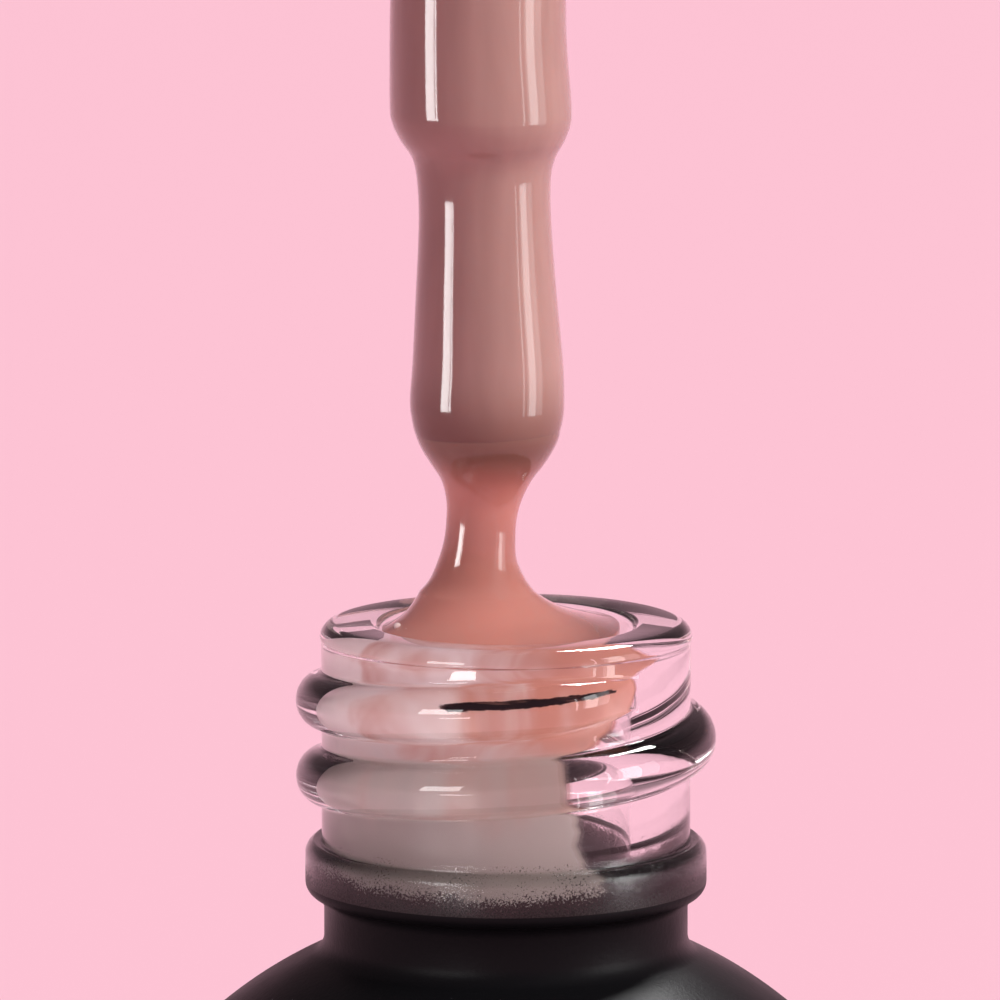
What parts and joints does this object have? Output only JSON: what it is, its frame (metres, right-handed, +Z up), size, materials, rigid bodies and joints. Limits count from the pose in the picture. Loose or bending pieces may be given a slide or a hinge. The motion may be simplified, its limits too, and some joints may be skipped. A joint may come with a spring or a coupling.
{
  "type": "nail polish bottle",
  "caption": "Round-shouldered glass nail polish bottle with a screw neck, its brush cap lifted out and a strand of wet polish between brush and mouth.",
  "frame": {"origin": "centre of the bottle's foot, on the surface it stands on", "axes": "+Z up the bottle's axis towards the neck; -Y faces the viewer; +X is to the viewer's right. The lifted brush hangs 0.8 mm towards -X"},
  "size_m": [0.0318, 0.0318, 0.1253],
  "materials": {
    "glass": "clear fire-polished glass with a matte black sprayed coat on the body",
    "polish": "wet mauve-nude lacquer",
    "thin_polish": "thin film of the same lacquer",
    "black_plastic": "satin black",
    "stem_plastic": "moulded polyethylene",
    "liner_foam": "foamed polyethylene",
    "bristle": "nylon filaments",
    "steel": "polished stainless steel",
    "label": "blank satin label"
  },
  "bodies": {
    "bottle": {"bottle_glass": "glass", "polish_fill": "polish", "polish_neck_film": "thin_polish", "base_label": "label", "mixing_ball_1": "steel", "mixing_ball_2": "steel"},
    "drawn_polish": {"polish_strand": "polish"},
    "seal": {"cap_liner": "liner_foam"},
    "cap": {"polish_coat": "polish", "bristle_tuft": "bristle", "bristle_staple": "steel", "brush_stem": "stem_plastic", "inner_cap": "black_plastic", "outer_cap": "black_plastic"}
  },
  "joints": [
    {"name": "brush_lift", "type": "slide", "parent": "bottle", "child": "drawn_polish", "axis": [-0.0177, 0, 0.9998], "range_m": [-0.04515, 0], "deforming": ["polish_strand", "polish_fill"]},
    {"name": "cap_advance", "type": "slide", "parent": "drawn_polish", "child": "seal", "axis": [0, 0, 1], "range_m": [-0.00405, 0]},
    {"name": "cap_turn", "type": "hinge", "parent": "seal", "child": "cap", "pos_m": [-0.0008, 0, 0.0983], "axis": [0, 0, 1], "range_deg": [-540, 0]}
  ],
  "couplings": [
    {"joint": "cap_advance", "follows": "cap_turn", "m_per_rad": 0.00042972}
  ]
}
